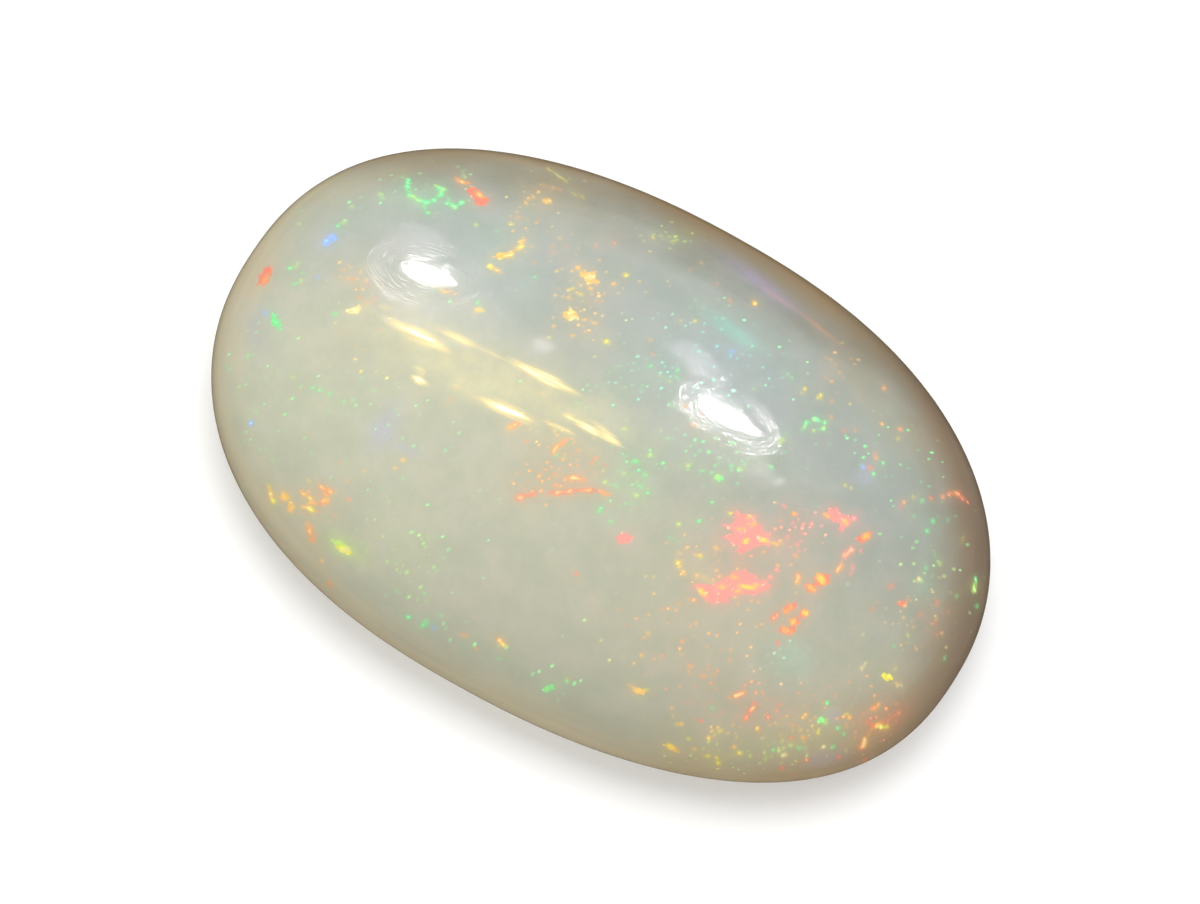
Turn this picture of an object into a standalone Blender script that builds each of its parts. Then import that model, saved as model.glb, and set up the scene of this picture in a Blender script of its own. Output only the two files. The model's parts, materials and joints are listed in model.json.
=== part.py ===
"""An oval cabochon of white opal: one polished stone with a high dome, a rounded girdle and a
shallow curved back that is ground flat where the stone rests.

The model is in metres and stands on Z = 0. +X runs along the stone's length and +Z up through
its crown. The origin is at the centre of the stone's footprint, on the surface that it rests on.
"""

import bmesh
import bpy

# The stone's size, in metres
LENGTH = 0.0220
WIDTH = 0.0142
DOME_HEIGHT = 0.0050
GIRDLE_HEIGHT = 0.0026
BACK_DEPTH = 0.0031

# How full the curves are: 2 is an ellipse, and a higher power is fuller towards its corners
PLAN_POWER = 2.27
PROFILE_POWER = 2.2

# What the cutter's hand left in the plan, as shares of the half width
END_TAPER = 0.012
END_BOW = 0.012
SIDE_SWEEP = 0.055

# Facets round the girdle, and from crown to keel
FACETS_ROUND = 88
FACETS_DOWN = 48

STONE_COLOUR = (0.55, 0.55, 0.47, 1.0)
STONE_ROUGHNESS = 0.08
STONE_IOR = 1.45
BOUNDARY_SNAP = 1e-6


def clear_scene():
    for item in list(bpy.data.objects):
        bpy.data.objects.remove(item, do_unlink=True)


def fuller(value, power):
    """A sine or a cosine bent so that the circle which it draws becomes a superellipse."""
    size = abs(value) ** (2 / power)
    return size if value >= 0 else -size


def stone_point(ball):
    """Where a point of the unit ball lies on the stone. The girdle is at Z = 0 here."""
    radius = (ball.x**2 + ball.y**2) ** 0.5
    reach = fuller(radius, PROFILE_POWER)
    rise = fuller(ball.z, PROFILE_POWER)
    along = reach * fuller(ball.x / radius, PLAN_POWER) if radius else 0.0
    across = reach * fuller(ball.y / radius, PLAN_POWER) if radius else 0.0
    across = (
        across * (1 - END_TAPER * along)
        - END_BOW * along**2
        + SIDE_SWEEP * along * (1 - along**2)
    )
    height = DOME_HEIGHT if rise > 0 else BACK_DEPTH
    return along * LENGTH / 2, across * WIDTH / 2, rise * height


def grind_back(mesh):
    """Takes the back off flat, one girdle height below the girdle, and closes the cut."""
    everything = mesh.verts[:] + mesh.edges[:] + mesh.faces[:]
    bmesh.ops.bisect_plane(
        mesh,
        geom=everything,
        dist=BOUNDARY_SNAP,
        plane_co=(0, 0, -GIRDLE_HEIGHT),
        plane_no=(0, 0, 1),
        clear_inner=True,
    )
    rim = [edge for edge in mesh.edges if edge.is_boundary]
    bmesh.ops.edgeloop_fill(mesh, edges=rim)


def centre_on_footprint(mesh):
    """Puts the middle of the plan's box on the Z axis and the ground flat on Z = 0."""
    middle = []
    for axis in (0, 1):
        places = [vert.co[axis] for vert in mesh.verts]
        middle.append((min(places) + max(places)) / 2)
    bmesh.ops.translate(
        mesh, verts=mesh.verts, vec=(-middle[0], -middle[1], GIRDLE_HEIGHT)
    )


def opal_material():
    material = bpy.data.materials.new("opal")
    material.use_nodes = True
    shader = material.node_tree.nodes["Principled BSDF"]
    shader.inputs["Base Color"].default_value = STONE_COLOUR
    shader.inputs["Roughness"].default_value = STONE_ROUGHNESS
    shader.inputs["Metallic"].default_value = 0.0
    shader.inputs["IOR"].default_value = STONE_IOR
    material.diffuse_color = STONE_COLOUR
    return material


def make_stone(collection):
    mesh = bmesh.new()
    bmesh.ops.create_uvsphere(
        mesh, u_segments=FACETS_ROUND, v_segments=FACETS_DOWN, radius=1
    )
    for vert in mesh.verts:
        vert.co = stone_point(vert.co)
    grind_back(mesh)
    centre_on_footprint(mesh)
    bmesh.ops.recalc_face_normals(mesh, faces=mesh.faces)
    data = bpy.data.meshes.new("opal_stone")
    mesh.to_mesh(data)
    mesh.free()
    data.shade_smooth()
    data.set_sharp_from_angle(angle=0.17)
    data.materials.append(opal_material())
    stone = bpy.data.objects.new("opal_stone", data)
    collection.objects.link(stone)
    return stone


def main():
    clear_scene()
    collection = bpy.data.collections.new("opal_cabochon")
    bpy.context.scene.collection.children.link(collection)
    make_stone(collection)


main()
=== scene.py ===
import json
import math

import bpy
import numpy as np
from mathutils import Matrix, Vector

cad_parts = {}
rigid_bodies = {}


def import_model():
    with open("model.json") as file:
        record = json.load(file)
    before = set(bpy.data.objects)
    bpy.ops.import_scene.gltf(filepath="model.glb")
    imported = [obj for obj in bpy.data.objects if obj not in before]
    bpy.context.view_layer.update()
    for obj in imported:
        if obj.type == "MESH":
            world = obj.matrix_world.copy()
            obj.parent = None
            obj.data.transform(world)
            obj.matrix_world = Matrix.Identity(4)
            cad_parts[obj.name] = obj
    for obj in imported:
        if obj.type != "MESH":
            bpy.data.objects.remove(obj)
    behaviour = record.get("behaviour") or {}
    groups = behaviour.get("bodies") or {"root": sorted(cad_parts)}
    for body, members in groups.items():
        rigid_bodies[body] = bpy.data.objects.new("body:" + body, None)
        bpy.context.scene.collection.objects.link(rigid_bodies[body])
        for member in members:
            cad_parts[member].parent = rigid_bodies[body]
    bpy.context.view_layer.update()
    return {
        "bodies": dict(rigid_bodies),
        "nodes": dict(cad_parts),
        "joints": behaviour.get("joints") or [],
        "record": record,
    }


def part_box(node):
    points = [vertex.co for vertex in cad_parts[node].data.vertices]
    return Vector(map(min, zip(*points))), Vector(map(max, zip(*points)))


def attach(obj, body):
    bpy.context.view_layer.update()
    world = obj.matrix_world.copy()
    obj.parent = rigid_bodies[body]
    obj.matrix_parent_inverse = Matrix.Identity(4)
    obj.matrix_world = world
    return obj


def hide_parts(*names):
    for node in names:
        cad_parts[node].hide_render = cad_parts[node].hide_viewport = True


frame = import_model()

mm = 0.001


# small helpers for building node trees and reading meshes

def plug(tree, value, socket):
    # an output is linked, and a plain number or colour is set
    if isinstance(value, bpy.types.NodeSocket):
        tree.links.new(value, socket)
    else:
        socket.default_value = value


def node(tree, kind, values=None, **settings):
    made = tree.nodes.new(kind)
    for name, setting in settings.items():
        setattr(made, name, setting)
    for name, value in (values or {}).items():
        plug(tree, value, made.inputs[name])
    return made


def calc(tree, operation, *values):
    made = tree.nodes.new("ShaderNodeMath")
    made.operation = operation
    for value, socket in zip(values, made.inputs):
        plug(tree, value, socket)
    return made.outputs[0]


def ramp(tree, value, start, end, low=0.0, high=1.0):
    # a soft step of value from start to end, given out as low to high
    made = node(tree, "ShaderNodeMapRange", interpolation_type="SMOOTHSTEP")
    for socket, given in zip(made.inputs, (value, start, end, low, high)):
        plug(tree, given, socket)
    return made.outputs["Result"]


def times(tree, first, second):
    return calc(tree, "MULTIPLY", first, second)


def plus(tree, first, second):
    return calc(tree, "ADD", first, second)


def minus(tree, first, second):
    return calc(tree, "SUBTRACT", first, second)


def vectorCalc(tree, operation, place, second=None):
    made = node(tree, "ShaderNodeVectorMath", {0: place}, operation=operation)
    if second is not None:
        plug(tree, second, made.inputs[1])
    return made.outputs["Value" if operation == "LENGTH" else "Vector"]


def parted(tree, place):
    # the three coordinates of a place
    return node(tree, "ShaderNodeSeparateXYZ", {"Vector": place}).outputs


def noise(tree, place, scale, detail, **more):
    made = node(tree, "ShaderNodeTexNoise", {"Vector": place, "Scale": scale, "Detail": detail, **more})
    return made.outputs["Fac"]


def framed(tree, place, **frame):
    # a place as seen from a frame with a location, a rotation and a scale of its own
    return node(tree, "ShaderNodeMapping", {"Vector": place, **frame}, vector_type="TEXTURE")


def mixedPlace(tree, factor, first, second):
    made = node(tree, "ShaderNodeMix", {0: factor, 4: first, 5: second}, data_type="VECTOR")
    return made.outputs[1]


def blend(tree, factor, first, second, way="MIX"):
    made = node(tree, "ShaderNodeMix", data_type="RGBA", blend_type=way)
    plug(tree, factor, made.inputs[0])
    plug(tree, first, made.inputs[6])
    plug(tree, second, made.inputs[7])
    return made.outputs[2]


def groupSockets(tree, inputs, outputs):
    for name, kind in inputs.items():
        tree.interface.new_socket(name, in_out="INPUT", socket_type=kind)
    for name, kind in outputs.items():
        tree.interface.new_socket(name, in_out="OUTPUT", socket_type=kind)
    return tree.nodes.new("NodeGroupInput"), tree.nodes.new("NodeGroupOutput")


def meshVectors(mesh, name):
    # the place or the normal of each vertex, one to a row
    values = np.empty(len(mesh.vertices) * 3)
    mesh.vertices.foreach_get(name, values)
    return values.reshape(-1, 3)


# the camera: nearly straight down, turned so that the stone's length runs to the lower right

camera = {
    "azimuth": 32.09,
    "elevation": 74.0,
    "distance": 221.43 * mm,
    "lens": 250.0,
    "aim": (-0.231 * mm, 0.289 * mm, 2.6 * mm),
    "frameWidth": 1200,
    "frameHeight": 904,
}


def cameraAxes():
    turn = math.radians(camera["azimuth"])
    rise = math.radians(camera["elevation"])
    back = Vector((math.sin(turn) * math.cos(rise), -math.cos(turn) * math.cos(rise), math.sin(rise)))
    right = Vector((math.cos(turn), math.sin(turn), 0))
    return right, back.cross(right), back


def makeCamera():
    right, up, back = cameraAxes()
    data = bpy.data.cameras.new("camera")
    data.lens = camera["lens"]
    data.clip_start = 0.01
    data.clip_end = 10
    cam = bpy.data.objects.new("camera", data)
    cam.location = Vector(camera["aim"]) + back * camera["distance"]
    cam.rotation_mode = "QUATERNION"
    cam.rotation_quaternion = (-back).to_track_quat("-Z", "Y")
    bpy.context.scene.collection.objects.link(cam)
    bpy.context.scene.camera = cam
    return cam


def pixelsOf(points, cam):
    # where points fall in the photograph's frame, x to the right and y down
    right, up, back = (np.array(axis) for axis in cameraAxes())
    away = points - np.array(cam.location)
    depth = -(away @ back)
    zoom = cam.data.lens / cam.data.sensor_width * camera["frameWidth"]
    x = camera["frameWidth"] / 2 + zoom * (away @ right) / depth
    y = camera["frameHeight"] / 2 - zoom * (away @ up) / depth
    return x, y


# the stone's form: a ball of square cells, bent into a superellipse in plan and in profile

stone = {
    "Length": 22.0 * mm,
    "Width": 14.2 * mm,
    "Dome Height": 5.0 * mm,
    "Girdle Height": 2.6 * mm,
    "Back Depth": 3.1 * mm,
    "Plan Power": 2.27,
    "Profile Power": 2.2,
    "End Taper": 0.012,
    "End Bow": 0.012,
    "Side Sweep": 0.055,
    "Eased Edge": 0.1 * mm,     # softens the rim of the ground back
    "Crown Crowding": 0.33,     # draws the cells up towards the crown, where the fire is
    "Cells": 126,               # along each side of the cube that becomes the ball
}


def fuller(tree, value, power):
    size = calc(tree, "POWER", calc(tree, "ABSOLUTE", value), calc(tree, "DIVIDE", 2.0, power))
    return times(tree, calc(tree, "SIGN", value), size)


def stoneTree():
    tree = bpy.data.node_groups.new("cut cabochon", "GeometryNodeTree")
    inputs = {name: "NodeSocketFloat" for name in stone}
    inputs["Cells"] = "NodeSocketInt"
    inputs["Material"] = "NodeSocketMaterial"
    given, result = groupSockets(tree, inputs, {"Geometry": "NodeSocketGeometry"})
    size = given.outputs

    corners = plus(tree, size["Cells"], 1.0)
    cube = node(tree, "GeometryNodeMeshCube", {
        "Size": (2.0, 2.0, 2.0), "Vertices X": corners, "Vertices Y": corners, "Vertices Z": corners,
    })

    # cube to ball, with cells of about one size
    place = parted(tree, node(tree, "GeometryNodeInputPosition").outputs[0])
    evened = node(tree, "ShaderNodeCombineXYZ")
    for axis in range(3):
        angle = times(tree, place[axis], math.pi / 4)
        plug(tree, calc(tree, "TANGENT", angle), evened.inputs[axis])
    ball = parted(tree, vectorCalc(tree, "NORMALIZE", evened.outputs[0]))

    # down from the crown, with the cells drawn up
    down = calc(tree, "ARCCOSINE", ball[2])
    drawn = times(tree, calc(tree, "SINE", down), size["Crown Crowding"])
    down = minus(tree, down, drawn)
    reach = fuller(tree, calc(tree, "SINE", down), size["Profile Power"])
    rise = fuller(tree, calc(tree, "COSINE", down), size["Profile Power"])

    # round the plan
    flat = node(tree, "ShaderNodeCombineXYZ", {0: ball[0], 1: ball[1]})
    heading = parted(tree, vectorCalc(tree, "NORMALIZE", flat.outputs[0]))
    along = times(tree, reach, fuller(tree, heading[0], size["Plan Power"]))
    across = times(tree, reach, fuller(tree, heading[1], size["Plan Power"]))

    # the cutter's hand: a slight taper, bow and sweep
    along2 = times(tree, along, along)
    taper = minus(tree, 1.0, times(tree, size["End Taper"], along))
    sweep = times(tree, size["Side Sweep"], along)
    sweep = times(tree, sweep, minus(tree, 1.0, along2))
    across = times(tree, across, taper)
    across = minus(tree, across, times(tree, size["End Bow"], along2))
    across = plus(tree, across, sweep)

    # dome above the girdle, shallow back below it, and the flat that is ground on the back
    dome = times(tree, calc(tree, "MAXIMUM", rise, 0.0), size["Dome Height"])
    back = times(tree, calc(tree, "MINIMUM", rise, 0.0), size["Back Depth"])
    height = plus(tree, dome, back)
    ground = times(tree, size["Girdle Height"], -1.0)
    height = calc(tree, "SMOOTH_MAX", height, ground, size["Eased Edge"])
    height = plus(tree, height, size["Girdle Height"])

    spot = node(tree, "ShaderNodeCombineXYZ", {
        0: times(tree, along, times(tree, size["Length"], 0.5)),
        1: times(tree, across, times(tree, size["Width"], 0.5)),
        2: height,
    })
    bent = node(tree, "GeometryNodeSetPosition", {
        "Geometry": cube.outputs["Mesh"], "Position": spot.outputs[0],
    })
    smooth = node(tree, "GeometryNodeSetShadeSmooth", {"Geometry": bent.outputs[0]})
    real = node(tree, "GeometryNodeRealizeInstances", {"Geometry": smooth.outputs[0]})
    dressed = node(tree, "GeometryNodeSetMaterial", {
        "Geometry": real.outputs[0], "Material": size["Material"],
    })
    plug(tree, dressed.outputs[0], result.inputs["Geometry"])
    return tree


def makeStone(material):
    tree = stoneTree()
    raw = bpy.data.objects.new("stone_blank", bpy.data.meshes.new("stone_blank"))
    bpy.context.scene.collection.objects.link(raw)
    cutter = raw.modifiers.new("cut", "NODES")
    cutter.node_group = tree
    for socket in tree.interface.items_tree:
        if socket.in_out == "INPUT":
            cutter[socket.identifier] = material if socket.name == "Material" else stone[socket.name]
    bpy.context.view_layer.update()
    graph = bpy.context.evaluated_depsgraph_get()
    mesh = bpy.data.meshes.new_from_object(raw.evaluated_get(graph))
    bpy.data.objects.remove(raw)
    mesh.name = "opal_cabochon"

    # the form stands where the solid does
    low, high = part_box("opal_stone")
    places = meshVectors(mesh, "co")
    middle = (places.min(0) + places.max(0)) / 2
    places[:, :2] += np.array((low + high) / 2)[:2] - middle[:2]
    mesh.vertices.foreach_set("co", places.ravel())
    mesh.update()
    piece = bpy.data.objects.new("opal_cabochon", mesh)
    bpy.context.scene.collection.objects.link(piece)
    return piece


# the fire: where the flashes of colour lie, by pixels of the photograph's frame

hues = {
    "green": (0.26, 0.90, 0.36),
    "paleGreen": (0.42, 0.86, 0.42),
    "yellowGreen": (0.66, 0.92, 0.26),
    "teal": (0.34, 0.80, 0.66),
    "cyan": (0.34, 0.86, 0.94),
    "blue": (0.38, 0.56, 1.00),
    "purple": (0.50, 0.44, 0.74),
    "lilac": (0.56, 0.54, 0.82),
    "red": (1.00, 0.29, 0.18),
    "pink": (1.00, 0.385, 0.34),
    "orange": (1.00, 0.44, 0.17),
    "amber": (1.00, 0.63, 0.20),
    "yellow": (1.00, 0.86, 0.12),
    "cream": (1.00, 0.88, 0.42),
}

# some beads take the next hue towards yellow
warmer = {"red": "orange", "pink": "orange", "orange": "amber", "amber": "yellow", "green": "yellowGreen",
          "paleGreen": "yellowGreen", "yellow": "cream"}

# single beads of colour: hue, radius in pixels, strength and where
beads = {
    "curlFaint": ("paleGreen", 3.2, 0.6, [(380, 194), (383, 198), (395, 180), (403, 177), (463, 171),
        (464, 176), (476, 225), (497, 231), (427, 184), (449, 199)]),
    "shoulderGreens": ("green", 2.9, 0.8, [(290, 268), (297, 265), (303, 272), (301, 281), (294, 284),
        (338, 226), (248, 355), (276, 322), (272, 315), (227, 366), (335, 314), (344, 222), (313, 388),
        (320, 390), (330, 394), (523, 286), (535, 277), (478, 303)]),
    "shoulderBlues": ("blue", 3.4, 1.1, [(326, 241), (333, 236), (318, 277), (265, 313), (251, 423)]),
    "shoulderWarm": ("orange", 2.8, 0.62, [(342, 270), (362, 269), (354, 278), (368, 285), (346, 279),
        (247, 292), (358, 287), (373, 301), (376, 296), (360, 298), (367, 304), (342, 331), (356, 345),
        (379, 330)]),
    "leftGreens": ("paleGreen", 3.0, 0.6, [(256, 411), (353, 400), (348, 414), (260, 450), (266, 449),
        (273, 461), (291, 462), (346, 462), (362, 378), (244, 442), (246, 486), (301, 212), (299, 224),
        (352, 207), (293, 377), (344, 402), (329, 411), (374, 391)]),
    "upperAmbers": ("amber", 3.1, 0.85, [(526, 203), (533, 197), (544, 201), (549, 201), (511, 224),
        (578, 268), (573, 289), (581, 295), (569, 298), (591, 289), (626, 275), (614, 284), (554, 326),
        (572, 335), (596, 323), (585, 320), (586, 332), (607, 342), (477, 310), (482, 310), (518, 249),
        (523, 241), (499, 254), (505, 256), (511, 255)]),
    "upperAmbersFaint": ("orange", 2.7, 0.6, [(538, 189), (544, 185), (527, 219), (539, 221),
        (517, 217), (532, 247), (534, 263), (553, 253), (566, 246), (566, 260), (596, 245), (614, 243),
        (549, 336), (649, 339), (652, 354), (553, 246), (560, 238), (560, 318), (600, 302), (588, 303),
        (455, 388), (450, 400)]),
    "upperRightWarm": ("orange", 2.9, 0.7, [(700, 262), (730, 301), (754, 303), (690, 270), (717, 283),
        (825, 377), (831, 381), (832, 401), (831, 417), (685, 406), (702, 415), (694, 425)]),
    "upperRightYellow": ("yellow", 2.7, 0.75, [(652, 237), (674, 240), (688, 232), (680, 320),
        (695, 321), (802, 393), (805, 389), (818, 398), (821, 395), (845, 485), (851, 488),
        (755, 303)]),
    "ringGreens": ("green", 2.8, 0.8, [(786, 434), (783, 440), (780, 444), (883, 463), (874, 474)]),
    "lampGreens": ("green", 3.0, 0.75, [(651, 366), (661, 376), (669, 381), (678, 371), (676, 377),
        (642, 385), (671, 405), (731, 466), (740, 469), (745, 464), (771, 467), (719, 478), (644, 473),
        (648, 493), (717, 477), (703, 472)]),
    "lampGreensFaint": ("paleGreen", 2.8, 0.55, [(689, 465), (698, 470), (758, 461), (679, 428),
        (666, 438), (671, 439), (760, 385), (754, 389), (736, 442), (788, 374), (792, 378), (695, 300),
        (689, 307), (704, 307), (610, 372), (620, 366), (602, 388), (610, 396), (623, 395), (625, 387),
        (578, 403), (637, 367)]),
    "lampBlues": ("cyan", 3.2, 0.7, [(717, 346), (730, 356)]),
    "lampBlue": ("blue", 3.8, 0.6, [(732, 351)]),
    "farRightWarm": ("red", 3.0, 0.75, [(900, 429), (870, 468), (888, 588), (903, 604), (873, 609),
        (937, 603), (948, 612), (934, 623), (938, 634), (920, 615), (931, 498), (844, 431), (900, 507),
        (907, 600), (892, 586)]),
    "farRightOrange": ("orange", 3.0, 0.75, [(875, 453), (876, 458), (904, 502), (874, 708), (879, 704),
        (884, 388), (882, 424), (855, 430)]),
    "farRightBlue": ("blue", 3.8, 0.85, [(863, 467)]),
    "farRightGreens": ("green", 3.1, 0.7, [(933, 521), (948, 520), (926, 568), (908, 635), (894, 646),
        (944, 659), (935, 556), (940, 564), (922, 501), (977, 606), (922, 582), (927, 531), (957, 596),
        (914, 516)]),
    "rightYellows": ("yellow", 3.0, 0.7, [(919, 579), (913, 497), (898, 685), (902, 686), (895, 669),
        (862, 668), (866, 663), (898, 439)]),
    "centreGreens": ("green", 3.0, 0.75, [(598, 512), (601, 508), (611, 522), (626, 454), (631, 462),
        (637, 462), (623, 473), (636, 482), (605, 482), (615, 485), (625, 429), (650, 455), (646, 476),
        (636, 495), (558, 456), (678, 524), (699, 521), (712, 502), (670, 538), (678, 541),
        (641, 487)]),
    "centreWarm": ("orange", 3.1, 0.8, [(564, 458), (577, 451), (540, 473), (554, 474), (555, 485),
        (562, 444), (557, 449), (509, 427), (515, 424), (526, 441), (543, 393), (596, 474)]),
    "centreReds": ("red", 3.2, 0.85, [(591, 463), (595, 458), (605, 465), (576, 574), (604, 493),
        (588, 490), (520, 498), (535, 493)]),
    "centreYellows": ("yellow", 2.8, 0.6, [(538, 432), (559, 407), (687, 465)]),
    "centreFaint": ("orange", 2.7, 0.35, [(533, 453), (514, 521), (530, 513), (570, 571), (593, 600),
        (600, 612)]),
    "lowerLeftBright": ("amber", 3.1, 1.0, [(284, 497), (291, 509), (364, 471), (309, 481), (303, 507),
        (461, 634), (499, 640), (504, 645)]),
    "lowerLeftOrange": ("orange", 3.0, 0.85, [(307, 494), (321, 487), (330, 491), (327, 500),
        (323, 502), (348, 499), (307, 524), (309, 529), (314, 535), (311, 541), (321, 560), (329, 583),
        (333, 588), (347, 481), (340, 463), (395, 468), (403, 460), (325, 489)]),
    "lowerLeftGreens": ("paleGreen", 2.9, 0.62, [(382, 489), (403, 478), (396, 562), (398, 592),
        (434, 537), (425, 594), (442, 616), (394, 550), (436, 570), (429, 554), (414, 532)]),
    "lowerEdgeGreens": ("green", 3.4, 0.85, [(550, 687), (546, 689), (566, 681), (427, 622), (408, 617),
        (464, 646), (501, 659), (424, 626)]),
    "lowerEdgeWarm": ("orange", 3.0, 0.65, [(464, 635), (501, 642), (505, 646), (475, 648), (569, 678),
        (498, 637)]),
    "lowerEdgeBlue": ("blue", 3.4, 0.75, [(434, 628)]),
    "lowerRightGreens": ("green", 3.0, 0.9, [(822, 720), (826, 723), (827, 703), (791, 745), (800, 748),
        (774, 750), (838, 728), (844, 734), (713, 708), (833, 747)]),
    "lowerRightYellows": ("yellow", 3.0, 0.85, [(784, 755), (763, 738), (720, 731), (796, 761),
        (707, 756), (719, 763), (716, 758), (739, 753), (688, 739), (823, 747), (818, 733)]),
    "lowerRightAmbers": ("amber", 3.2, 0.85, [(639, 691), (634, 688), (647, 690), (672, 708),
        (681, 724), (676, 724), (668, 745), (672, 748), (677, 751), (709, 738), (734, 747), (694, 749),
        (805, 715), (846, 714), (850, 717), (864, 743), (629, 685)]),
    "lowerRightReds": ("red", 3.0, 0.85, [(782, 768), (793, 775), (791, 738), (804, 738), (806, 760),
        (759, 731), (768, 717), (793, 725), (779, 705), (740, 694), (746, 718), (700, 721), (860, 748),
        (865, 760), (839, 757), (899, 713)]),
    "southOranges": ("orange", 2.9, 0.75, [(619, 609), (662, 609), (679, 604), (648, 633), (682, 641),
        (642, 655), (662, 656), (681, 654), (690, 666), (730, 660), (703, 676), (715, 674), (711, 683),
        (717, 689), (689, 599), (697, 604), (673, 716), (625, 626)]),
    "patchAmbers": ("amber", 2.9, 0.85, [(763, 552), (776, 544), (771, 543), (781, 542), (687, 547),
        (680, 553), (678, 563), (684, 572), (700, 556), (716, 548), (716, 570), (730, 513)]),
    "patchReds": ("pink", 3.2, 0.9, [(784, 506), (794, 514), (793, 523), (803, 524), (812, 524),
        (801, 533), (797, 544), (788, 537), (780, 521), (796, 556), (861, 551), (853, 566), (851, 573),
        (848, 552), (844, 556), (852, 549)]),
    "runOranges": ("orange", 2.7, 0.95, [(864, 538), (867, 535), (838, 570), (841, 565), (798, 577),
        (797, 583), (811, 588), (808, 586), (814, 590), (804, 613), (794, 622), (787, 630), (783, 630),
        (792, 632)]),
    "strokeReds": ("red", 3.4, 0.95, [(773, 618), (777, 615), (778, 643), (785, 611), (789, 608),
        (794, 605)]),
    "topRim": ("yellow", 2.6, 0.5, [(549, 169), (553, 172), (558, 175), (562, 178), (567, 181),
        (571, 193), (577, 195), (583, 197)]),
}

# strings of beads: hue, bead radius, strength and the line that they follow
strings = {
    "curl": ("green", 2.3, 1.0, [(408, 179), (407, 187), (410, 195), (417, 200), (426, 203), (434, 200),
        (440, 195), (443, 189), (436, 185)]),
    "curlLow": ("green", 2.3, 0.9, [(425, 208), (429, 214)]),
    "curlEast": ("green", 2.3, 0.95, [(447, 203), (455, 207), (461, 203), (468, 201)]),
    "ring": ("green", 2.3, 0.9, [(803, 431), (806, 423), (814, 419), (825, 423), (824, 429),
        (814, 430)]),
    "leftChainA": ("amber", 2.5, 0.9, [(303, 494), (311, 499), (309, 507), (316, 514)]),
    "leftChainB": ("orange", 2.4, 0.8, [(309, 524), (310, 532), (313, 540)]),
    "leftChainC": ("orange", 2.3, 0.75, [(316, 505), (324, 500), (330, 492), (320, 487)]),
    "upperChain": ("amber", 2.3, 0.8, [(524, 237), (521, 246), (512, 252)]),
    "orangeDash": ("orange", 2.4, 0.8, [(455, 179), (462, 181), (469, 183)]),
    "pinkDash": ("orange", 2.4, 0.6, [(551, 187), (560, 190)]),
    "amberDash": ("amber", 2.8, 0.9, [(490, 266), (502, 272)]),
    "lampDash": ("amber", 2.4, 0.55, [(433, 286), (444, 291), (454, 294)]),
    "rightRimDash": ("orange", 2.6, 0.55, [(825, 358), (835, 364)]),
    "redStrokeA": ("orange", 2.9, 0.9, [(563, 480), (573, 477), (584, 479)]),
    "redStrokeB": ("red", 2.8, 0.85, [(516, 500), (521, 498), (531, 494)]),
    "redStrokeC": ("red", 2.9, 0.9, [(546, 496), (557, 493), (570, 491), (590, 490)]),
    "redStrokeC2": ("red", 2.9, 0.85, [(600, 492), (612, 494)]),
    "redStrokeD": ("orange", 2.5, 0.75, [(553, 453), (557, 447), (565, 440)]),
    "redStrokeE": ("orange", 2.3, 0.55, [(505, 431), (512, 427), (520, 423)]),
    "leftEdgeOrange": ("amber", 2.9, 0.9, [(267, 484), (271, 493), (274, 502)]),
    "redLine": ("red", 2.7, 0.85, [(943, 496), (950, 494), (958, 494), (962, 498), (967, 503)]),
    "greenLine": ("green", 2.7, 1.1, [(975, 578), (975, 590)]),
    "yellowLine": ("yellow", 2.5, 0.35, [(965, 533), (962, 545)]),
    "patchTail": ("pink", 2.8, 0.95, [(766, 583), (771, 577), (776, 571)]),
    "strokeLowA": ("red", 2.8, 0.8, [(744, 721), (750, 711), (756, 703)]),
    "strokeLowB": ("orange", 2.8, 0.75, [(729, 698), (736, 696), (743, 692)]),
    "lowArmWest": ("red", 2.3, 0.7, [(861, 720), (870, 722)]),
    "lowArmEast": ("red", 2.3, 0.7, [(884, 722), (897, 714)]),
    "flareEdge": ("orange", 2.5, 0.85, [(862, 746), (866, 738), (873, 729)]),
    "flareTop": ("orange", 2.4, 0.85, [(871, 710), (879, 704)]),
    "flareDots": ("amber", 2.4, 1.0, [(876, 725), (886, 727)]),
    "hookWest": ("amber", 2.2, 0.6, [(677, 561), (680, 569), (685, 575)]),
    "runMiddle": ("red", 2.6, 0.8, [(844, 556), (852, 551)]),
    "runLower": ("orange", 2.6, 0.85, [(837, 571), (843, 564)]),
    "runSide": ("orange", 2.4, 0.8, [(795, 582), (799, 575)]),
}

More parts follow.
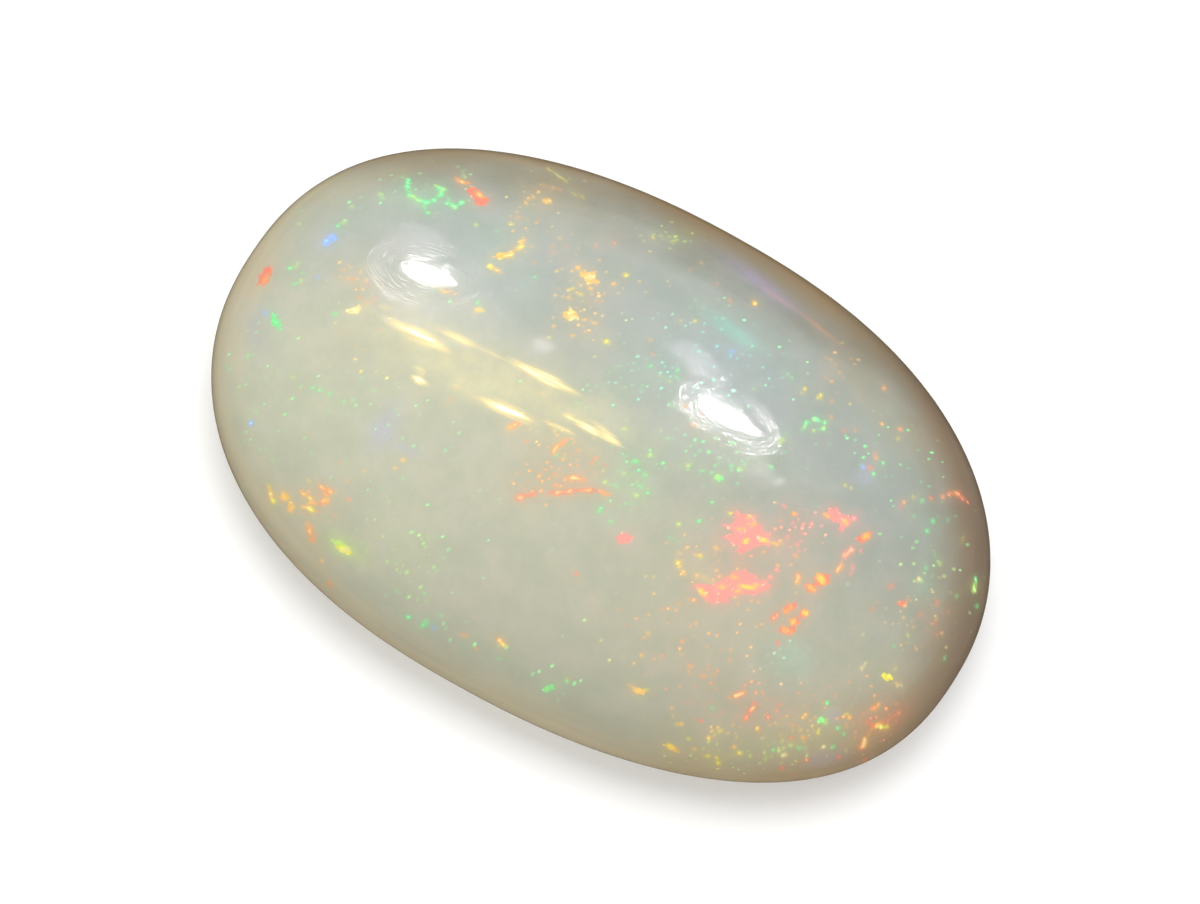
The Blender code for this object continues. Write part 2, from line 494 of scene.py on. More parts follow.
# fields where small grains are lit here and there: hue, middle, half length, half width, tilt and share
fields = {
    "crownLeftGreens": ("paleGreen", (400, 200), 100, 34, 12, 0.145),
    "leftGreens": ("paleGreen", (262, 380), 50, 80, 0, 0.087),
    "leftMiddle": ("paleGreen", (370, 440), 90, 90, 0, 0.051),
    "leftAmber": ("amber", (356, 280), 30, 20, -20, 0.319),
    "upperAmber": ("amber", (528, 220), 30, 60, -20, 0.232),
    "middleAmber": ("amber", (584, 300), 30, 50, 10, 0.406),
    "middleOrangeWide": ("orange", (610, 300), 80, 80, 0, 0.072),
    "upperYellow": ("yellowGreen", (676, 236), 36, 14, -10, 0.29),
    "tealSprinkle": ("teal", (640, 380), 62, 34, 20, 0.27),
    "tealSprinkleWide": ("teal", (700, 350), 120, 50, -20, 0.174),
    "tealShine": ("teal", (733, 330), 34, 12, -34, 0.24),
    "rimGreens": ("paleGreen", (770, 340), 80, 24, -40, 0.087),
    "rightOranges": ("orange", (840, 380), 36, 40, -50, 0.174),
    "rightGreens": ("green", (890, 450), 70, 60, -60, 0.131),
    "belowLampGreens": ("green", (720, 460), 90, 30, -5, 0.174),
    "centreOranges": ("orange", (556, 474), 60, 34, 10, 0.493),
    "centreGreens": ("green", (632, 480), 34, 50, 0, 0.348),
    "streakAmbers": ("amber", (560, 436), 46, 18, -20, 0.406),
    "bandAmbers": ("amber", (360, 350), 60, 36, -20, 0.145),
    "lowerLeftField": ("orange", (312, 502), 42, 20, -15, 0.435),
    "lowerLeftTailField": ("orange", (318, 548), 14, 40, 20, 0.29),
    "lowerLeftGreens": ("paleGreen", (410, 545), 90, 60, -20, 0.072),
    "lowerEdgeField": ("paleGreen", (500, 650), 130, 30, -26, 0.102),
    "redAround": ("orange", (730, 560), 90, 64, 0, 0.232),
    "redNorth": ("pink", (796, 530), 36, 34, 0, 0.348),
    "redSouth": ("orange", (700, 640), 110, 54, -8, 0.203),
    "redSouthDeep": ("red", (740, 705), 90, 40, -8, 0.232),
    "rightSpeckles": ("red", (915, 600), 60, 60, 0, 0.087),
    "rightGreenSpeckles": ("green", (930, 570), 60, 90, 0, 0.116),
    "lowerRightMixed": ("yellowGreen", (760, 742), 110, 30, 6, 0.20),
    "lowerRightOranges": ("orange", (820, 725), 90, 40, 20, 0.261),
    "lowerRightTips": ("red", (872, 726), 34, 24, 30, 0.435),
    "tealLower": ("teal", (780, 660), 34, 36, 0, 0.203),
    "lowerRightDots": ("orange", (800, 712), 110, 44, 8, 0.20),
    "lowerRightSparks": ("green", (790, 745), 90, 24, 6, 0.16),
    "rightRimDots": ("orange", (930, 620), 30, 60, -20, 0.14),
    "midSpeckles": ("yellowGreen", (404, 548), 34, 58, 20, 0.20),
    "everywhere": ("paleGreen", (600, 470), 400, 300, -24, 0.032),
}

# solid flashes with ragged outlines: hue and corners
patches = {
    "pinkPatch": ("pink", [(733, 510), (743, 514), (755, 516), (757, 522), (763, 526), (762, 531),
        (772, 533), (769, 538), (770, 545), (761, 546), (753, 549), (739, 555), (736, 551), (740, 546),
        (731, 545), (729, 541), (722, 537), (733, 533), (729, 529), (722, 525), (733, 523),
        (735, 518)]),
    "lowPatch": ("pink", [(693, 586), (698, 583), (710, 585), (718, 582), (726, 577), (735, 571),
        (746, 570), (753, 574), (758, 579), (766, 581), (772, 586), (766, 591), (753, 595), (739, 595),
        (731, 597), (728, 603), (721, 602), (713, 604), (706, 601), (701, 596)]),
    "redCorner": ("pink", [(824, 515), (831, 507), (838, 508), (840, 514), (849, 517), (856, 515),
        (858, 520), (849, 525), (842, 532), (838, 529), (841, 523), (832, 521)]),
}

# smaller solid flashes: hue, middle, half length, half width and tilt; a later one lies over an earlier one
flames = {
    "redSpotLeft": ("red", (265, 276), 11, 5.4, 58),
    "redSpotLeftCore": ("orange", (266, 279), 5, 2.4, 58),
    "redArrow": ("red", (477, 195), 11, 4.6, -38),
    "redArrowFoot": ("red", (482, 202), 7, 3.4, 10),
    "redArrowCore": ("amber", (480, 195), 4, 2.2, -30),
    "amberPatch": ("amber", (502, 256), 7.6, 3.2, 8),
    "patchSpeckA": ("yellow", (746, 541), 2.8, 2.2, 0),
    "patchSpeckB": ("yellow", (764, 540), 3.6, 2.0, -26),
    "patchSpeckC": ("amber", (753, 524), 2.6, 2.4, 0),
    "patchSpeckD": ("amber", (749, 517), 2.6, 2, 0),
    "patchSpeckE": ("amber", (741, 529), 3.4, 1.8, 0),
    "lowCoreWest": ("yellow", (702, 592), 5, 1.8, -54),
    "lowCoreEast": ("yellow", (747, 587), 7.6, 2.0, -10),
    "lowSpeckA": ("amber", (722, 587), 3.6, 2.2, 0),
    "lowSpeckB": ("amber", (734, 577), 3.2, 2.4, -20),
    "lowSpeckC": ("amber", (738, 591), 3, 2, 0),
    "lowSpeckD": ("amber", (756, 585), 3, 1.8, 20),
    "cornerSpeckA": ("amber", (827, 516), 2.6, 2.2, 0),
    "cornerSpeckB": ("amber", (845, 522), 2.6, 2.4, 0),
    "knot": ("red", (822, 580), 8, 7, 0),
    "knotCore": ("yellow", (821, 579), 5, 3.0, -46),
    "knotWest": ("red", (811, 588), 6.6, 4, -26),
    "knotWestCore": ("amber", (810, 587), 3, 2, -40),
    "runTop": ("red", (864, 538), 8.4, 4.2, 28),
    "runTopCore": ("yellow", (866, 536), 3.2, 2.2, 28),
    "strokeA": ("red", (789, 608), 8, 3.8, 30),
    "strokeACore": ("amber", (790, 608), 3.6, 2, 30),
    "strokeB": ("red", (804, 614), 5, 4.4, 30),
    "strokeBCore": ("yellow", (805, 613), 2.6, 2.2, 0),
    "strokeBLow": ("red", (794, 622), 5, 4.4, 0),
    "strokeBLowCore": ("yellow", (793, 622), 2.6, 2.2, 0),
    "strokeC": ("red", (787, 631), 8.6, 4, -8),
    "strokeCCore": ("amber", (786, 630), 4, 1.8, -30),
    "redCentre": ("pink", (624, 539), 8, 6, 0),
    "redLow": ("red", (876, 725), 6, 2.8, 12),
    "redLowCore": ("amber", (879, 725), 3.6, 2.4, 0),
    "amberStar": ("amber", (589, 278), 10, 3.4, -30),
    "amberStarUp": ("amber", (591, 277), 4, 7, -20),
    "amberStarCore": ("cream", (590, 277), 4, 2.4, -10),
    "amberBlot": ("amber", (571, 315), 8, 5, 0),
    "amberBlotCore": ("cream", (573, 318), 3.2, 2.4, 0),
    "greenHaze": ("yellowGreen", (341, 546), 11, 3.6, -36),
    "yellowFlash": ("yellow", (345, 550), 8, 3.2, -24),
    "yellowFlashCore": ("cream", (345, 550), 4, 2.2, 10),
    "leftBrightA": ("amber", (284, 497), 5.4, 3.8, -40),
    "leftBrightB": ("amber", (291, 508), 5.4, 3.2, 70),
    "creamLeft": ("cream", (353, 311), 7, 2.8, 0),
    "creamLeftWing": ("cream", (357, 308), 4.6, 2.2, 34),
    "yellowBlot": ("yellow", (887, 677), 5.4, 3.8, -20),
    "lampSpot": ("green", (719, 478), 4.4, 3.4, -50),
    "greenBlot": ("green", (549, 688), 6, 4, 10),
    "greenLow": ("green", (822, 720), 4.6, 3.6, 0),
    "amberLow": ("amber", (639, 691), 5.6, 3, -10),
    "amberDashLow": ("amber", (672, 748), 7.6, 2.6, -32),
    "redSpeckRight": ("red", (902, 604), 4.6, 2.8, 36),
    "blueDrop": ("blue", (330, 240), 8.6, 4, 34),
    "greenDrop": ("green", (276, 322), 4, 8, 24),
}

# streaks of painted sheen along the stone: start, end, half width and strength
sheenStreaks = {
    "first": ((372, 312), (462, 360), 7.8, 0.34),
    "firstCore": ((386, 317), (456, 354), 4.4, 0.62),
    "firstHeart": ((404, 324), (444, 346), 3.4, 0.9),
    "firstHead": ((374, 304), (397, 311), 2.9, 0.36),
    "second": ((420, 319), (482, 349), 6.1, 0.30),
    "secondCore": ((440, 329), (478, 347), 3.4, 0.62),
    "link": ((466, 341), (510, 361), 2.7, 0.30),
    "third": ((496, 354), (592, 402), 6.6, 0.34),
    "thirdCore": ((500, 355), (588, 399), 3.9, 0.62),
    "thirdHeart": ((518, 364), (572, 391), 3.2, 0.9),
    "fourth": ((458, 390), (548, 427), 7.6, 0.36),
    "fourthUpper": ((474, 395), (540, 422), 3.2, 0.62),
    "fourthLower": ((480, 401), (538, 427), 3.2, 0.62),
    "fourthHeart": ((492, 404), (528, 419), 3.2, 0.6),
    "fourthTail": ((538, 419), (582, 437), 3.2, 0.40),
    "fifth": ((556, 409), (622, 446), 6.3, 0.34),
    "fifthCore": ((570, 418), (602, 437), 3.4, 0.8),
    "fifthKnot": ((563, 414), (575, 420), 3.4, 0.6),
    "fifthUpper": ((590, 419), (622, 444), 2.9, 0.55),
    "fifthTail": ((598, 435), (626, 449), 2.9, 0.40),
    "spot": ((408, 374), (432, 387), 4.0, 0.52),
    "spotHeart": ((413, 377), (425, 383), 3.2, 0.6),
    "spotHigh": ((412, 365), (428, 376), 3.7, 0.40),
    "spotLow": ((450, 383), (464, 392), 3.2, 0.26),
}

# soft veils of colour in the milk, among them painted shade, painted sheen and painted reflections: hue or
# colour, middle, half length, half width, tilt and strength
veils = {
    # painted sheen: the yellow band round the shining streaks
    "yellowBand": ((0.78, 0.73, 0.45), (480, 372), 170, 58, -24, 0.32),
    "yellowCore": ((0.90, 0.82, 0.47), (430, 345), 74, 22, -24, 0.26),
    "yellowCoreEast": ((0.92, 0.83, 0.47), (550, 398), 84, 24, -24, 0.30),
    "yellowLow": ((0.90, 0.84, 0.50), (470, 382), 60, 18, -22, 0.24),
    "coolShoulder": ((0.43, 0.47, 0.41), (330, 196), 70, 30, 32, 0.30),
    "lowShade": ((0.44, 0.42, 0.28), (605, 724), 120, 16, -28, 0.16),
    "purpleRim": ("purple", (764, 286), 50, 8, -36, 0.40),
    "tealShoulder": ("teal", (732, 331), 32, 9, -36, 0.42),
    "lilacLeft": ("lilac", (384, 428), 16, 26, -30, 0.34),
    "lilacLeftFar": ("lilac", (408, 450), 18, 7, -20, 0.22),
    "purpleLeft": ("purple", (256, 330), 14, 30, 20, 0.20),
    "pinkGlow": ("pink", (742, 560), 56, 44, 0, 0.10),
    "greenGlow": ("yellowGreen", (344, 546), 26, 14, -30, 0.30),
    "tealLowVeil": ("teal", (790, 655), 26, 34, 30, 0.16),
    "tealRight": ("teal", (925, 590), 20, 20, 0, 0.12),
    "greenLeft": ("paleGreen", (285, 410), 70, 60, 0, 0.05),
    "greenCrown": ("paleGreen", (430, 198), 44, 20, 0, 0.12),
    "tealLamp": ("teal", (500, 250), 40, 34, 0, 0.10),
    "lowPurple": ("purple", (824, 758), 26, 10, 10, 0.20),
    "lilacLow": ("lilac", (834, 716), 10, 8, 0, 0.30),
    "rightLilac": ("lilac", (862, 478), 14, 8, 0, 0.30),
    # painted reflection: a cool haze round the right highlight
    "lampHazeReflection": ((0.51, 0.55, 0.63), (725, 372), 90, 40, -30, 0.26),
    "goldSmear": ((0.86, 0.70, 0.36), (704, 579), 14, 5, -25, 0.55),
    "rimThread": ("orange", (817, 326), 28, 2.2, -38, 0.24),
    "rimThreadWest": ("orange", (775, 296), 20, 2.0, -34, 0.20),
    "crownCool": ((0.56, 0.60, 0.62), (500, 290), 50, 30, -24, 0.22),
    "warmTop": ((0.54, 0.44, 0.27), (560, 206), 100, 30, -24, 0.24),
    "warmRight": ((0.50, 0.47, 0.33), (866, 395), 44, 24, -52, 0.28),
    "lampWarm": ((0.62, 0.62, 0.40), (722, 440), 34, 10, -20, 0.20),
    "rimOrange": ("orange", (925, 450), 20, 34, 40, 0.06),
    "redHazeLow": ("red", (896, 716), 20, 12, 40, 0.20),
    # painted reflection: a thin light line inside the top rim
    "topRimReflection": ((0.66, 0.62, 0.50), (560, 172), 90, 6, -14, 0.22),
}

# how unevenly the beads turn out, as ranges of random factors
scatter = {
    "warmed": 0.25,                 # how many of them take the next hue
    "beadRadius": (0.75, 1.0),
    "beadStrength": (0.55, 1.10),
    "stringRadius": (0.7, 1.1),
    "stringStrength": (0.5, 1.15),
    "stringPitch": 1.9,             # radii from bead to bead
    "stringShift": (-1.1, 1.1),     # pixels
}

# fire on the sides and the back, which the photograph doesn't show
hiddenFire = {
    "seed": 23,
    "fields": 60,
    "reach": (0.6 * mm, 2.2 * mm),
    "share": (0.06, 0.34),
    "hues": ["green", "orange", "paleGreen", "red", "amber", "teal", "green", "orange", "yellowGreen"],
}


def softEdge(distance, inside, outside):
    # 1 inside, 0 outside, and smooth between
    t = np.clip((outside - distance) / (outside - inside), 0, 1)
    return t * t * (3 - 2 * t)


def ovalDistance(x, y, middle, halfLength, halfWidth, tilt):
    # 1 on the oval's edge; the tilt is anticlockwise as seen in the photograph
    turn = math.radians(tilt)
    dx, dy = x - middle[0], y - middle[1]
    u = dx * math.cos(turn) - dy * math.sin(turn)
    v = dx * math.sin(turn) + dy * math.cos(turn)
    return np.hypot(u / halfLength, v / halfWidth)


def lineDistance(x, y, start, end):
    # distance from the line in pixels, and how far along it, from 0 to 1
    sx, sy = end[0] - start[0], end[1] - start[1]
    along = np.clip(((x - start[0]) * sx + (y - start[1]) * sy) / (sx * sx + sy * sy), 0, 1)
    return np.hypot(x - start[0] - along * sx, y - start[1] - along * sy), along


def outlineDistance(x, y, corners):
    # distance from a closed outline in pixels, less than nothing inside it
    inside = np.zeros(len(x), bool)
    nearest = np.full(len(x), 1e6)
    for start, end in zip(corners, corners[1:] + corners[:1]):
        nearest = np.minimum(nearest, lineDistance(x, y, start, end)[0])
        if start[1] != end[1]:
            crossing = start[0] + (y - start[1]) * (end[0] - start[0]) / (end[1] - start[1])
            inside ^= ((start[1] > y) != (end[1] > y)) & (x < crossing)
    return np.where(inside, -nearest, nearest)


class Layer:
    # a tint and an amount at each point of the mesh, from marks laid one over another

    def __init__(self, count):
        self.tint = np.zeros((count, 3))
        self.cover = np.full(count, 1e-9)
        self.clear = np.ones(count)

    def lay(self, hue, amount, nearness):
        # the tint reaches a little beyond the mark, so that its edge keeps its colour
        colour = np.array(hues[hue] if isinstance(hue, str) else hue)
        amount = np.clip(amount, 0, 1)
        over = np.maximum(amount, 0.02 * nearness)
        self.tint += over[:, None] * (colour - self.tint)
        self.cover += over * (1 - self.cover)
        self.clear *= 1 - amount

    def write(self, mesh, name):
        values = np.ones((len(self.clear), 4), np.float32)
        values[:, :3] = self.tint / self.cover[:, None]
        values[:, 3] = 1 - self.clear
        layer = mesh.attributes.new(name, "FLOAT_COLOR", "POINT")
        layer.data.foreach_set("color", values.ravel())


def paintFire(piece, cam):
    mesh = piece.data
    places = meshVectors(mesh, "co")
    normals = meshVectors(mesh, "normal")
    x, y = pixelsOf(places, cam)
    toCamera = np.array(cam.location) - places
    facing = np.einsum("ij,ij->i", normals, toCamera) / np.linalg.norm(toCamera, axis=1)
    seen = softEdge(-facing, -0.06, 0.02)
    count = len(places)

    spots, grains, solid, veil, sheenStreak = (Layer(count) for number in range(5))
    dice = np.random.default_rng(hiddenFire["seed"])

    def addBead(hue, radius, strength, spot):
        if dice.random() < scatter["warmed"]:
            hue = warmer.get(hue, hue)
        away = np.hypot(x - spot[0], y - spot[1]) / radius
        spots.lay(hue, seen * strength * np.exp(-away**2), np.exp(-(away / 2) ** 2))
        veil.lay(hue, seen * strength * 0.10 * np.exp(-(away / 2.6) ** 2), np.exp(-(away / 4) ** 2))

    for hue, radius, strength, group in beads.values():
        for spot in group:
            addBead(hue, radius * dice.uniform(*scatter["beadRadius"]),
                    strength * dice.uniform(*scatter["beadStrength"]), spot)
    shift = scatter["stringShift"]
    for hue, radius, strength, line in strings.values():
        for start, end in zip(line, line[1:]):
            steps = max(1, round(math.dist(start, end) / radius / scatter["stringPitch"]))
            for step in range(steps + 1):
                share = step / steps
                spot = [start[axis] + (end[axis] - start[axis]) * share + dice.uniform(*shift)
                        for axis in (0, 1)]
                addBead(hue, radius * dice.uniform(*scatter["stringRadius"]),
                        strength * dice.uniform(*scatter["stringStrength"]), spot)
    for hue, middle, halfLength, halfWidth, tilt, share in fields.values():
        away = ovalDistance(x, y, middle, halfLength, halfWidth, tilt)
        grains.lay(hue, share * seen * softEdge(away, 0.2, 1.2), np.exp(-away**2))
        veil.lay(hue, share * 0.25 * seen * np.exp(-away**2 * 1.5), np.exp(-away**2))
    for hue, corners in patches.values():
        away = outlineDistance(x, y, corners)
        solid.lay(hue, seen * softEdge(away, -2.0, 2.0), softEdge(away, 0, 9))
        veil.lay(hue, seen * 0.22 * softEdge(away, -2, 12), softEdge(away, 0, 20))
    for hue, middle, halfLength, halfWidth, tilt in flames.values():
        away = ovalDistance(x, y, middle, halfLength, halfWidth, tilt)
        solid.lay(hue, seen * np.exp(-(away**4) * 0.6), np.exp(-(away / 2) ** 2))
        veil.lay(hue, seen * 0.12 * np.exp(-(away / 2) ** 2), np.exp(-(away / 4) ** 2))
    for start, end, width, strength in sheenStreaks.values():
        away, along = lineDistance(x, y, start, end)
        taper = np.sin(np.pi * np.clip(along, 0.04, 0.96)) ** 0.7
        sheenStreak.lay("cream", strength * seen * taper * np.exp(-(away / width / taper) ** 2),
                   np.exp(-(away / width) ** 2))
    for hue, middle, halfLength, halfWidth, tilt, strength in veils.values():
        away = ovalDistance(x, y, middle, halfLength, halfWidth, tilt)
        veil.lay(hue, strength * seen * np.exp(-away**2 * 1.2), np.exp(-away**2 / 4))

    # the rest of the stone gets fields of its own
    for number in range(hiddenFire["fields"]):
        centre = places[dice.integers(count)]
        reach = dice.uniform(*hiddenFire["reach"])
        share = dice.uniform(*hiddenFire["share"])
        hue = hiddenFire["hues"][dice.integers(len(hiddenFire["hues"]))]
        away = np.linalg.norm(places - centre, axis=1) / reach
        grains.lay(hue, share * (1 - seen) * softEdge(away, 0.3, 1.0), (1 - seen) * np.exp(-away**2))
        veil.lay(hue, share * 0.2 * (1 - seen) * np.exp(-away**2), (1 - seen) * np.exp(-away**2 / 4))

    for layer, name in ((spots, "beadFire"), (grains, "grainFire"), (solid, "flameFire"), (veil, "veil"),
                        (sheenStreak, "sheenStreak")):
        layer.write(mesh, name)
    return x, y, places, normals


# the opal's finish

opal = {
    "coolMilk": (0.440, 0.475, 0.440, 1),    # greyer towards the far side
    "warmMilk": (0.565, 0.560, 0.440, 1),    # greener and browner towards the near side
    "paintedShadeSlope": 0.012,                         # painted shade: lighter towards -X, per millimetre
    "darkSkinWithPaintedShade": (0.272, 0.204, 0.150, 1),    # tan of the girdle band, partly skin and partly painted shade, darkest towards +X
    "skinWithPaintedShade": (0.500, 0.388, 0.238, 1),
    # painted light: the band is paler on the near side, towards -Y
    "paleSkinWithPaintedLight": (0.690, 0.622, 0.432, 1),
    "paintedEdgeShade": (0.76, 0.71, 0.66, 1),           # painted shade: dims the far side towards its edge
    "cloudSize": 4.0,                        # millimetres
    "mottleSize": 0.9,
    "grainPitch": 0.125,                     # one grain of fire, in millimetres
    "grainSlant": 58,                        # grains are drawn out this way, in degrees from +X
    "grainStretch": 1.35,
    "roughness": 0.03,
    "groundRoughness": 0.42,
    "subsurface": 0.7,
    "subsurfaceRadius": (1.0, 0.8, 0.55),    # how far red, green and blue spread, as shares of the scale
    "subsurfaceScale": 2.5,                  # millimetres
    "ior": 1.45,
    "haze": 0.02,                            # a faint wide shine round each highlight
    "hazeRoughness": 0.32,
    "shadedSkinTop": 5.4,                          # millimetres above the table, where the tan band of skin and painted shade has thinned out
    "shadedSkinFade": 2.1,                         # how far below that it is full
    "heat": (0.14, 0.36, 0.22, 1),           # what a flash gains at its core
    "grainGlow": 0.08,
    "flameGlow": 0.06,
    "beadGlow": 0.08,
    # painted sheen of the shining streaks: edge, heart and glow
    "streakEdge": (1.0, 0.84, 0.44, 1),
    "streakHeart": (1.0, 0.96, 0.76, 1),
    "streakGlow": (1.0, 0.94, 0.62, 1),
    "scratchHeight": 0.0004,                 # millimetres
    "swirlHeights": (0.0085, 0.0015),        # round the left and the right highlight
}


def placed(tree, group, values):
    # a node group put into a tree, with its inputs set
    made = node(tree, "ShaderNodeGroup", node_tree=group)
    for name, value in values.items():
        plug(tree, value, made.inputs[name])
    return made.outputs


def grey(tree, value):
    return node(tree, "ShaderNodeCombineColor", {0: value, 1: value, 2: value}).outputs[0]


def grainGroup():
    # splits fire into small grains, and lights the given share of them
    tree = bpy.data.node_groups.new("opal grains", "ShaderNodeTree")
    given, result = groupSockets(
        tree,
        {"Place": "NodeSocketVector", "Share": "NodeSocketFloat", "Pitch": "NodeSocketFloat"},
        {"Mask": "NodeSocketFloat", "Core": "NodeSocketFloat", "Pebble": "NodeSocketFloat"},
    )
    cells = node(tree, "ShaderNodeTexVoronoi", {
        "Vector": given.outputs["Place"], "Scale": calc(tree, "DIVIDE", 1.0, given.outputs["Pitch"]),
        "Randomness": 0.9,
    }, voronoi_dimensions="2D")
    chance = node(tree, "ShaderNodeSeparateColor", {"Color": cells.outputs["Color"]})
    over = minus(tree, given.outputs["Share"], chance.outputs[0])
    lit = ramp(tree, over, -0.01, 0.03)
    size = ramp(tree, chance.outputs[1], 0.0, 1.0, 0.75, 1.3)
    away = calc(tree, "DIVIDE", cells.outputs["Distance"], size)
    body = ramp(tree, away, 0.50, 0.10)
    strength = calc(tree, "MULTIPLY_ADD", calc(tree, "POWER", chance.outputs[2], 2.0), 0.75, 0.12)
    mask = times(tree, times(tree, lit, body), strength)
    core = times(tree, ramp(tree, away, 0.26, 0.08), times(tree, mask, strength))
    plug(tree, mask, result.inputs["Mask"])
    plug(tree, core, result.inputs["Core"])
    plug(tree, ramp(tree, away, 0.62, 0.05), result.inputs["Pebble"])
    return tree


def flashGroup():
    # lays a flash of a given tint over a colour, lighter and yellower at its core, and adds to its glow
    tree = bpy.data.node_groups.new("opal flash", "ShaderNodeTree")
    given, result = groupSockets(
        tree,
        {"Under": "NodeSocketColor", "Glow Under": "NodeSocketColor", "Tint": "NodeSocketColor",
         "Mask": "NodeSocketFloat", "Core": "NodeSocketFloat", "Glow": "NodeSocketFloat"},
        {"Colour": "NodeSocketColor", "Glow": "NodeSocketColor"},
    )
    heat = blend(tree, given.outputs["Core"], given.outputs["Tint"], opal["heat"], "ADD")
    over = blend(tree, given.outputs["Mask"], given.outputs["Under"], heat)
    shining = times(tree, given.outputs["Mask"], given.outputs["Glow"])
    glow = blend(tree, shining, given.outputs["Glow Under"], heat)
    plug(tree, over, result.inputs["Colour"])
    plug(tree, glow, result.inputs["Glow"])
    return tree


def scratchGroup():
    # hair-fine polishing scratches, as a height
    tree = bpy.data.node_groups.new("polishing scratches", "ShaderNodeTree")
    given, result = groupSockets(tree, {"Place": "NodeSocketVector"}, {"Height": "NodeSocketFloat"})
    laid = framed(tree, given.outputs["Place"], Rotation=(0, 0, math.radians(18)), Scale=(3.0, 0.07, 0.3))
    lines = noise(tree, laid.outputs[0], 1.4, 1.0)
    groove = calc(tree, "ABSOLUTE", minus(tree, lines, 0.5))
    plug(tree, ramp(tree, groove, 0.0, 0.02), result.inputs["Height"])
    return tree


def swirlGroup():
    # broken arcs round a place, left by the polishing lap, as a height
    tree = bpy.data.node_groups.new("polishing swirl", "ShaderNodeTree")
    given, result = groupSockets(tree, {"Place": "NodeSocketVector"}, {"Height": "NodeSocketFloat"})
    flat = vectorCalc(tree, "MULTIPLY", given.outputs["Place"], (1, 1, 0))
    away = vectorCalc(tree, "LENGTH", flat)
    heading = parted(tree, vectorCalc(tree, "MULTIPLY", vectorCalc(tree, "NORMALIZE", flat), (1.3, 1.3, 1.3)))
    ring = node(tree, "ShaderNodeCombineXYZ", {0: times(tree, away, 5.0), 1: heading[0], 2: heading[1]})
    groove = ramp(tree, noise(tree, ring.outputs[0], 1.6, 1.0), 0.54, 0.64)
    near = times(tree, ramp(tree, away, 0.1, 1.3), ramp(tree, away, 2.7, 1.4))
    plug(tree, times(tree, groove, near), result.inputs["Height"])
    return tree


